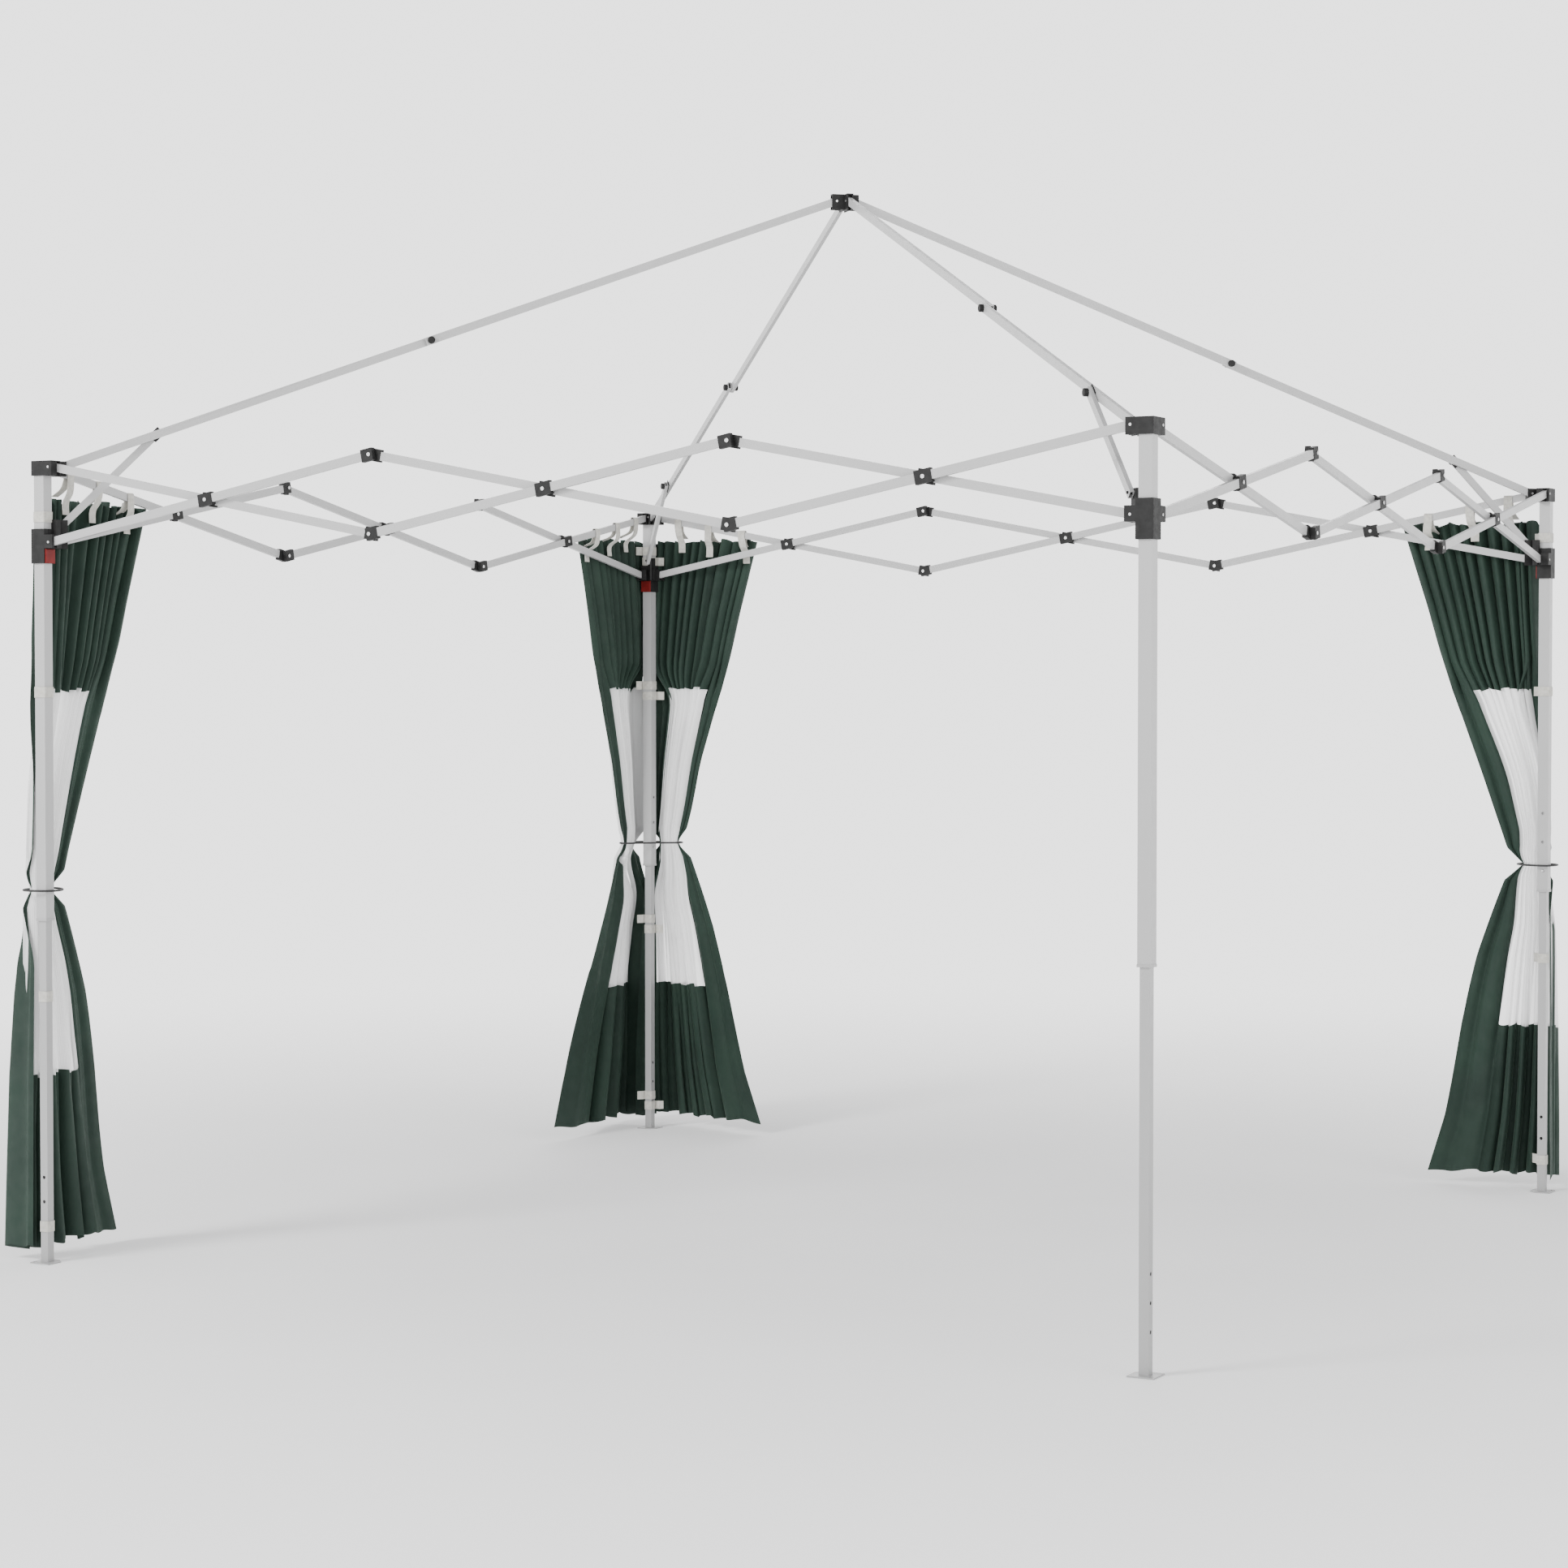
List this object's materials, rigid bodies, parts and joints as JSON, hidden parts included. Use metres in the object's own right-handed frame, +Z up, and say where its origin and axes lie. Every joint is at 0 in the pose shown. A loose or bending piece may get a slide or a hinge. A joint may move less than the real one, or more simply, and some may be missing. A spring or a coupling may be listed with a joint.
{
  "type": "pop up canopy frame",
  "caption": "Square folding canopy frame with telescopic legs, scissor truss, peaked ridge poles and gathered corner curtains.",
  "frame": {"origin": "centre of the standing footprint box, on the floor", "axes": "+Z up; the sides run along X and Y, front at -Y"},
  "size_m": [3.132, 3.132, 2.6932],
  "materials": {
    "leg_steel": "satin powder coat",
    "truss_steel": "satin powder coat",
    "ridge_steel": "satin powder coat",
    "black_plastic": "moulded",
    "red_plastic": "moulded",
    "button_steel": "plated",
    "curtain_fabric": "woven polyester"
  },
  "bodies": {
    "leg_front_left": {"outer_leg_front_left": "leg_steel", "curtains_front_left": "curtain_fabric"},
    "slider_front_left": {"slider_front_left": "black_plastic"},
    "release_button_front_left": {"release_button_front_left": "red_plastic"},
    "inner_leg_front_left": {"inner_leg_front_left": "leg_steel"},
    "snap_button_front_left": {"snap_button_front_left": "button_steel"},
    "ridge_lower_front_left": {"ridge_lower_front_left": "ridge_steel"},
    "ridge_upper_front_left": {"ridge_upper_front_left": "ridge_steel"},
    "ridge_strut_front_left": {"ridge_strut_front_left": "ridge_steel"},
    "leg_front_right": {"outer_leg_front_right": "leg_steel"},
    "slider_front_right": {"slider_front_right": "black_plastic"},
    "release_button_front_right": {"release_button_front_right": "red_plastic"},
    "inner_leg_front_right": {"inner_leg_front_right": "leg_steel"},
    "snap_button_front_right": {"snap_button_front_right": "button_steel"},
    "ridge_lower_front_right": {"ridge_lower_front_right": "ridge_steel"},
    "ridge_upper_front_right": {"ridge_upper_front_right": "ridge_steel"},
    "ridge_strut_front_right": {"ridge_strut_front_right": "ridge_steel"},
    "leg_rear_right": {"outer_leg_rear_right": "leg_steel", "curtains_rear_right": "curtain_fabric"},
    "slider_rear_right": {"slider_rear_right": "black_plastic"},
    "release_button_rear_right": {"release_button_rear_right": "red_plastic"},
    "inner_leg_rear_right": {"inner_leg_rear_right": "leg_steel"},
    "snap_button_rear_right": {"snap_button_rear_right": "button_steel"},
    "ridge_lower_rear_right": {"ridge_lower_rear_right": "ridge_steel"},
    "ridge_upper_rear_right": {"ridge_upper_rear_right": "ridge_steel"},
    "ridge_strut_rear_right": {"ridge_strut_rear_right": "ridge_steel"},
    "leg_rear_left": {"outer_leg_rear_left": "leg_steel", "curtains_rear_left": "curtain_fabric"},
    "slider_rear_left": {"slider_rear_left": "black_plastic"},
    "release_button_rear_left": {"release_button_rear_left": "red_plastic"},
    "inner_leg_rear_left": {"inner_leg_rear_left": "leg_steel"},
    "snap_button_rear_left": {"snap_button_rear_left": "button_steel"},
    "ridge_lower_rear_left": {"ridge_lower_rear_left": "ridge_steel"},
    "ridge_upper_rear_left": {"ridge_upper_rear_left": "ridge_steel"},
    "ridge_strut_rear_left": {"ridge_strut_rear_left": "ridge_steel"},
    "hub": {"hub": "black_plastic"},
    "front_rising_bar_1": {"front_rising_bar_1": "truss_steel"},
    "front_falling_bar_1": {"front_falling_bar_1": "truss_steel"},
    "front_rising_bar_2": {"front_rising_bar_2": "truss_steel"},
    "front_falling_bar_2": {"front_falling_bar_2": "truss_steel"},
    "front_rising_bar_3": {"front_rising_bar_3": "truss_steel"},
    "front_falling_bar_3": {"front_falling_bar_3": "truss_steel"},
    "right_rising_bar_1": {"right_rising_bar_1": "truss_steel"},
    "right_falling_bar_1": {"right_falling_bar_1": "truss_steel"},
    "right_rising_bar_2": {"right_rising_bar_2": "truss_steel"},
    "right_falling_bar_2": {"right_falling_bar_2": "truss_steel"},
    "right_rising_bar_3": {"right_rising_bar_3": "truss_steel"},
    "right_falling_bar_3": {"right_falling_bar_3": "truss_steel"},
    "rear_rising_bar_1": {"rear_rising_bar_1": "truss_steel"},
    "rear_falling_bar_1": {"rear_falling_bar_1": "truss_steel"},
    "rear_rising_bar_2": {"rear_rising_bar_2": "truss_steel"},
    "rear_falling_bar_2": {"rear_falling_bar_2": "truss_steel"},
    "rear_rising_bar_3": {"rear_rising_bar_3": "truss_steel"},
    "rear_falling_bar_3": {"rear_falling_bar_3": "truss_steel"},
    "left_rising_bar_1": {"left_rising_bar_1": "truss_steel"},
    "left_falling_bar_1": {"left_falling_bar_1": "truss_steel"},
    "left_rising_bar_2": {"left_rising_bar_2": "truss_steel"},
    "left_falling_bar_2": {"left_falling_bar_2": "truss_steel"},
    "left_rising_bar_3": {"left_rising_bar_3": "truss_steel"},
    "left_falling_bar_3": {"left_falling_bar_3": "truss_steel"}
  },
  "joints": [
    {"name": "fold", "type": "hinge", "parent": "leg_front_left", "child": "front_falling_bar_1", "pos_m": [-1.3467, -1.521, 1.948], "axis": [0, 1, 0], "range_deg": [0, 74.06], "deforming": ["curtains_front_left", "curtains_rear_left", "curtains_rear_right"]},
    {"name": "front_cross_1", "type": "hinge", "parent": "front_falling_bar_1", "child": "front_rising_bar_1", "pos_m": [-0.87413, -1.521, 1.85665], "axis": [0, 1, 0], "range_deg": [-148.14, 0]},
    {"name": "front_top_1", "type": "hinge", "parent": "front_rising_bar_1", "child": "front_falling_bar_2", "pos_m": [-0.40157, -1.521, 1.948], "axis": [0, 1, 0], "range_deg": [0, 148.14]},
    {"name": "front_cross_2", "type": "hinge", "parent": "front_falling_bar_2", "child": "front_rising_bar_2", "pos_m": [0.071, -1.521, 1.85665], "axis": [0, 1, 0], "range_deg": [-148.14, 0]},
    {"name": "front_top_2", "type": "hinge", "parent": "front_rising_bar_2", "child": "front_falling_bar_3", "pos_m": [0.54357, -1.521, 1.948], "axis": [0, 1, 0], "range_deg": [0, 148.14]},
    {"name": "front_cross_3", "type": "hinge", "parent": "front_falling_bar_3", "child": "front_rising_bar_3", "pos_m": [1.01613, -1.521, 1.85665], "axis": [0, 1, 0], "range_deg": [-148.14, 0]},
    {"name": "front_bar_3_end", "type": "hinge", "parent": "front_rising_bar_3", "child": "leg_front_right", "pos_m": [1.4887, -1.521, 1.948], "axis": [0, 1, 0], "range_deg": [0, 74.08]},
    {"name": "left_bar_3_top", "type": "hinge", "parent": "leg_front_left", "child": "left_rising_bar_3", "pos_m": [-1.379, -1.4887, 1.948], "axis": [1, 0, 0], "range_deg": [-74.08, 0]},
    {"name": "left_cross_3", "type": "hinge", "parent": "left_rising_bar_3", "child": "left_falling_bar_3", "pos_m": [-1.379, -1.01613, 1.85665], "axis": [1, 0, 0], "range_deg": [0, 148.14]},
    {"name": "left_top_2", "type": "hinge", "parent": "left_falling_bar_3", "child": "left_rising_bar_2", "pos_m": [-1.379, -0.54357, 1.948], "axis": [1, 0, 0], "range_deg": [-148.14, 0]},
    {"name": "left_cross_2", "type": "hinge", "parent": "left_rising_bar_2", "child": "left_falling_bar_2", "pos_m": [-1.379, -0.071, 1.85665], "axis": [1, 0, 0], "range_deg": [0, 148.14]},
    {"name": "left_top_1", "type": "hinge", "parent": "left_falling_bar_2", "child": "left_rising_bar_1", "pos_m": [-1.379, 0.40157, 1.948], "axis": [1, 0, 0], "range_deg": [-148.14, 0]},
    {"name": "left_cross_1", "type": "hinge", "parent": "left_rising_bar_1", "child": "left_falling_bar_1", "pos_m": [-1.379, 0.87413, 1.85665], "axis": [1, 0, 0], "range_deg": [0, 148.14]},
    {"name": "left_bar_1_end", "type": "hinge", "parent": "left_falling_bar_1", "child": "leg_rear_left", "pos_m": [-1.379, 1.3467, 1.948], "axis": [1, 0, 0], "range_deg": [-74.08, 0]},
    {"name": "right_bar_1_top", "type": "hinge", "parent": "leg_front_right", "child": "right_falling_bar_1", "pos_m": [1.521, -1.4887, 1.948], "axis": [-1, 0, 0], "range_deg": [0, 74.08]},
    {"name": "right_cross_1", "type": "hinge", "parent": "right_falling_bar_1", "child": "right_rising_bar_1", "pos_m": [1.521, -1.01613, 1.85665], "axis": [-1, 0, 0], "range_deg": [-148.14, 0]},
    {"name": "right_top_1", "type": "hinge", "parent": "right_rising_bar_1", "child": "right_falling_bar_2", "pos_m": [1.521, -0.54357, 1.948], "axis": [-1, 0, 0], "range_deg": [0, 148.14]},
    {"name": "right_cross_2", "type": "hinge", "parent": "right_falling_bar_2", "child": "right_rising_bar_2", "pos_m": [1.521, -0.071, 1.85665], "axis": [-1, 0, 0], "range_deg": [-148.14, 0]},
    {"name": "right_top_2", "type": "hinge", "parent": "right_rising_bar_2", "child": "right_falling_bar_3", "pos_m": [1.521, 0.40157, 1.948], "axis": [-1, 0, 0], "range_deg": [0, 148.14]},
    {"name": "right_cross_3", "type": "hinge", "parent": "right_falling_bar_3", "child": "right_rising_bar_3", "pos_m": [1.521, 0.87413, 1.85665], "axis": [-1, 0, 0], "range_deg": [-148.14, 0]},
    {"name": "right_bar_3_end", "type": "hinge", "parent": "right_rising_bar_3", "child": "leg_rear_right", "pos_m": [1.521, 1.3467, 1.948], "axis": [-1, 0, 0], "range_deg": [0, 74.08]},
    {"name": "rear_bar_1_top", "type": "hinge", "parent": "leg_rear_right", "child": "rear_falling_bar_1", "pos_m": [1.4887, 1.379, 1.948], "axis": [0, -1, 0], "range_deg": [0, 74.08]},
    {"name": "rear_cross_1", "type": "hinge", "parent": "rear_falling_bar_1", "child": "rear_rising_bar_1", "pos_m": [1.01613, 1.379, 1.85665], "axis": [0, -1, 0], "range_deg": [-148.14, 0]},
    {"name": "rear_top_1", "type": "hinge", "parent": "rear_rising_bar_1", "child": "rear_falling_bar_2", "pos_m": [0.54357, 1.379, 1.948], "axis": [0, -1, 0], "range_deg": [0, 148.14]},
    {"name": "rear_cross_2", "type": "hinge", "parent": "rear_falling_bar_2", "child": "rear_rising_bar_2", "pos_m": [0.071, 1.379, 1.85665], "axis": [0, -1, 0], "range_deg": [-148.14, 0]},
    {"name": "rear_top_2", "type": "hinge", "parent": "rear_rising_bar_2", "child": "rear_falling_bar_3", "pos_m": [-0.40157, 1.379, 1.948], "axis": [0, -1, 0], "range_deg": [0, 148.14]},
    {"name": "rear_cross_3", "type": "hinge", "parent": "rear_falling_bar_3", "child": "rear_rising_bar_3", "pos_m": [-0.87413, 1.379, 1.85665], "axis": [0, -1, 0], "range_deg": [-148.14, 0]},
    {"name": "slider_pivot_front_left", "type": "hinge", "parent": "front_rising_bar_1", "child": "slider_front_left", "pos_m": [-1.3467, -1.521, 1.7653], "axis": [0, 1, 0], "range_deg": [0, 74.08]},
    {"name": "slider_pivot_front_right", "type": "hinge", "parent": "right_rising_bar_1", "child": "slider_front_right", "pos_m": [1.521, -1.4887, 1.7653], "axis": [-1, 0, 0], "range_deg": [0, 74.08]},
    {"name": "slider_pivot_rear_right", "type": "hinge", "parent": "rear_rising_bar_1", "child": "slider_rear_right", "pos_m": [1.4887, 1.379, 1.7653], "axis": [0, -1, 0], "range_deg": [0, 74.08]},
    {"name": "slider_pivot_rear_left", "type": "hinge", "parent": "left_rising_bar_1", "child": "slider_rear_left", "pos_m": [-1.379, 1.3467, 1.7653], "axis": [1, 0, 0], "range_deg": [0, 74.08]},
    {"name": "ridge_lower_pivot_front_left", "type": "hinge", "parent": "leg_front_left", "child": "ridge_lower_front_left", "pos_m": [-1.34718, -1.48918, 1.95], "axis": [0.7071, -0.7071, 0], "range_deg": [-106.12, 0]},
    {"name": "ridge_strut_pivot_front_left", "type": "hinge", "parent": "slider_front_left", "child": "ridge_strut_front_left", "pos_m": [-1.34223, -1.48423, 1.812], "axis": [0.7071, -0.7071, 0], "range_deg": [0, 38.95]},
    {"name": "ridge_lower_pivot_front_right", "type": "hinge", "parent": "leg_front_right", "child": "ridge_lower_front_right", "pos_m": [1.48918, -1.48918, 1.95], "axis": [0.7071, 0.7071, 0], "range_deg": [-106.12, 0]},
    {"name": "ridge_strut_pivot_front_right", "type": "hinge", "parent": "slider_front_right", "child": "ridge_strut_front_right", "pos_m": [1.48423, -1.48423, 1.812], "axis": [0.7071, 0.7071, 0], "range_deg": [0, 38.95]},
    {"name": "ridge_lower_pivot_rear_right", "type": "hinge", "parent": "leg_rear_right", "child": "ridge_lower_rear_right", "pos_m": [1.48918, 1.34718, 1.95], "axis": [-0.7071, 0.7071, 0], "range_deg": [-106.12, 0]},
    {"name": "ridge_strut_pivot_rear_right", "type": "hinge", "parent": "slider_rear_right", "child": "ridge_strut_rear_right", "pos_m": [1.48423, 1.34223, 1.812], "axis": [-0.7071, 0.7071, 0], "range_deg": [0, 38.95]},
    {"name": "ridge_lower_pivot_rear_left", "type": "hinge", "parent": "leg_rear_left", "child": "ridge_lower_rear_left", "pos_m": [-1.34718, 1.34718, 1.95], "axis": [-0.7071, -0.7071, 0], "range_deg": [-106.12, 0]},
    {"name": "ridge_strut_pivot_rear_left", "type": "hinge", "parent": "slider_rear_left", "child": "ridge_strut_rear_left", "pos_m": [-1.34223, 1.34223, 1.812], "axis": [-0.7071, -0.7071, 0], "range_deg": [0, 38.95]},
    {"name": "ridge_lap_front_left", "type": "hinge", "parent": "ridge_lower_front_left", "child": "ridge_upper_front_left", "pos_m": [-0.70107, -0.84307, 2.28438], "axis": [0.7071, -0.7071, 0], "range_deg": [0, 171.64]},
    {"name": "hub_pivot_front_left", "type": "hinge", "parent": "ridge_upper_front_left", "child": "hub", "pos_m": [0.05403, -0.08797, 2.67517], "axis": [0.7071, -0.7071, 0], "range_deg": [-65.54, 0]},
    {"name": "hub_pivot_front_right", "type": "hinge", "parent": "hub", "child": "ridge_upper_front_right", "pos_m": [0.08797, -0.08797, 2.67517], "axis": [0.7071, 0.7071, 0], "range_deg": [0, 65.54]},
    {"name": "hub_pivot_rear_right", "type": "hinge", "parent": "hub", "child": "ridge_upper_rear_right", "pos_m": [0.08797, -0.05403, 2.67517], "axis": [-0.7071, 0.7071, 0], "range_deg": [0, 65.54]},
    {"name": "hub_pivot_rear_left", "type": "hinge", "parent": "hub", "child": "ridge_upper_rear_left", "pos_m": [0.05403, -0.05403, 2.67517], "axis": [-0.7071, -0.7071, 0], "range_deg": [0, 65.54]},
    {"name": "leg_slide_front_left", "type": "slide", "parent": "leg_front_left", "child": "inner_leg_front_left", "axis": [0, 0, 1], "range_m": [0, 0.749]},
    {"name": "snap_press_front_left", "type": "slide", "parent": "leg_front_left", "child": "snap_button_front_left", "axis": [0, -1, 0], "range_m": [0, 0.004], "stiffness_N_per_m": 500, "springref_m": -0.002},
    {"name": "release_press_front_left", "type": "slide", "parent": "slider_front_left", "child": "release_button_front_left", "axis": [-1, 0, 0], "range_m": [0, 0.003], "stiffness_N_per_m": 800, "springref_m": -0.002},
    {"name": "leg_slide_front_right", "type": "slide", "parent": "leg_front_right", "child": "inner_leg_front_right", "axis": [0, 0, 1], "range_m": [0, 0.749]},
    {"name": "snap_press_front_right", "type": "slide", "parent": "leg_front_right", "child": "snap_button_front_right", "axis": [1, 0, 0], "range_m": [0, 0.004], "stiffness_N_per_m": 500, "springref_m": -0.002},
    {"name": "release_press_front_right", "type": "slide", "parent": "slider_front_right", "child": "release_button_front_right", "axis": [0, -1, 0], "range_m": [0, 0.003], "stiffness_N_per_m": 800, "springref_m": -0.002},
    {"name": "leg_slide_rear_right", "type": "slide", "parent": "leg_rear_right", "child": "inner_leg_rear_right", "axis": [0, 0, 1], "range_m": [0, 0.749]},
    {"name": "snap_press_rear_right", "type": "slide", "parent": "leg_rear_right", "child": "snap_button_rear_right", "axis": [0, 1, 0], "range_m": [0, 0.004], "stiffness_N_per_m": 500, "springref_m": -0.002},
    {"name": "release_press_rear_right", "type": "slide", "parent": "slider_rear_right", "child": "release_button_rear_right", "axis": [1, 0, 0], "range_m": [0, 0.003], "stiffness_N_per_m": 800, "springref_m": -0.002},
    {"name": "leg_slide_rear_left", "type": "slide", "parent": "leg_rear_left", "child": "inner_leg_rear_left", "axis": [0, 0, 1], "range_m": [0, 0.749]},
    {"name": "snap_press_rear_left", "type": "slide", "parent": "leg_rear_left", "child": "snap_button_rear_left", "axis": [-1, 0, 0], "range_m": [0, 0.004], "stiffness_N_per_m": 500, "springref_m": -0.002},
    {"name": "release_press_rear_left", "type": "slide", "parent": "slider_rear_left", "child": "release_button_rear_left", "axis": [0, 1, 0], "range_m": [0, 0.003], "stiffness_N_per_m": 800, "springref_m": -0.002}
  ],
  "couplings": [
    {"joint": "front_cross_1", "follows": "fold", "ratio": -2},
    {"joint": "front_top_1", "follows": "fold", "ratio": 2},
    {"joint": "front_cross_2", "follows": "fold", "ratio": -2},
    {"joint": "front_top_2", "follows": "fold", "ratio": 2},
    {"joint": "front_cross_3", "follows": "fold", "ratio": -2},
    {"joint": "front_bar_3_end", "follows": "fold", "ratio": 1},
    {"joint": "left_bar_3_top", "follows": "fold", "ratio": -1},
    {"joint": "left_cross_3", "follows": "fold", "ratio": 2},
    {"joint": "left_top_2", "follows": "fold", "ratio": -2},
    {"joint": "left_cross_2", "follows": "fold", "ratio": 2},
    {"joint": "left_top_1", "follows": "fold", "ratio": -2},
    {"joint": "left_cross_1", "follows": "fold", "ratio": 2},
    {"joint": "left_bar_1_end", "follows": "fold", "ratio": -1},
    {"joint": "right_bar_1_top", "follows": "fold", "ratio": 1},
    {"joint": "right_cross_1", "follows": "fold", "ratio": -2},
    {"joint": "right_top_1", "follows": "fold", "ratio": 2},
    {"joint": "right_cross_2", "follows": "fold", "ratio": -2},
    {"joint": "right_top_2", "follows": "fold", "ratio": 2},
    {"joint": "right_cross_3", "follows": "fold", "ratio": -2},
    {"joint": "right_bar_3_end", "follows": "fold", "ratio": 1},
    {"joint": "rear_bar_1_top", "follows": "fold", "ratio": 1},
    {"joint": "rear_cross_1", "follows": "fold", "ratio": -2},
    {"joint": "rear_top_1", "follows": "fold", "ratio": 2},
    {"joint": "rear_cross_2", "follows": "fold", "ratio": -2},
    {"joint": "rear_top_2", "follows": "fold", "ratio": 2},
    {"joint": "rear_cross_3", "follows": "fold", "ratio": -2},
    {"joint": "slider_pivot_front_left", "follows": "fold", "ratio": 1},
    {"joint": "slider_pivot_front_right", "follows": "fold", "ratio": 1},
    {"joint": "slider_pivot_rear_right", "follows": "fold", "ratio": 1},
    {"joint": "slider_pivot_rear_left", "follows": "fold", "ratio": 1},
    {"joint": "ridge_lower_pivot_front_left", "follows": "fold", "ratio": -1.4326},
    {"joint": "ridge_strut_pivot_front_left", "follows": "fold", "ratio": 0.52571},
    {"joint": "ridge_lower_pivot_front_right", "follows": "fold", "ratio": -1.4326},
    {"joint": "ridge_strut_pivot_front_right", "follows": "fold", "ratio": 0.52571},
    {"joint": "ridge_lower_pivot_rear_right", "follows": "fold", "ratio": -1.4326},
    {"joint": "ridge_strut_pivot_rear_right", "follows": "fold", "ratio": 0.52571},
    {"joint": "ridge_lower_pivot_rear_left", "follows": "fold", "ratio": -1.4326},
    {"joint": "ridge_strut_pivot_rear_left", "follows": "fold", "ratio": 0.52571},
    {"joint": "ridge_lap_front_left", "follows": "fold", "ratio": 2.3174},
    {"joint": "hub_pivot_front_left", "follows": "fold", "ratio": -0.88474},
    {"joint": "hub_pivot_front_right", "follows": "fold", "ratio": 0.88474},
    {"joint": "hub_pivot_rear_right", "follows": "fold", "ratio": 0.88474},
    {"joint": "hub_pivot_rear_left", "follows": "fold", "ratio": 0.88474}
  ]
}
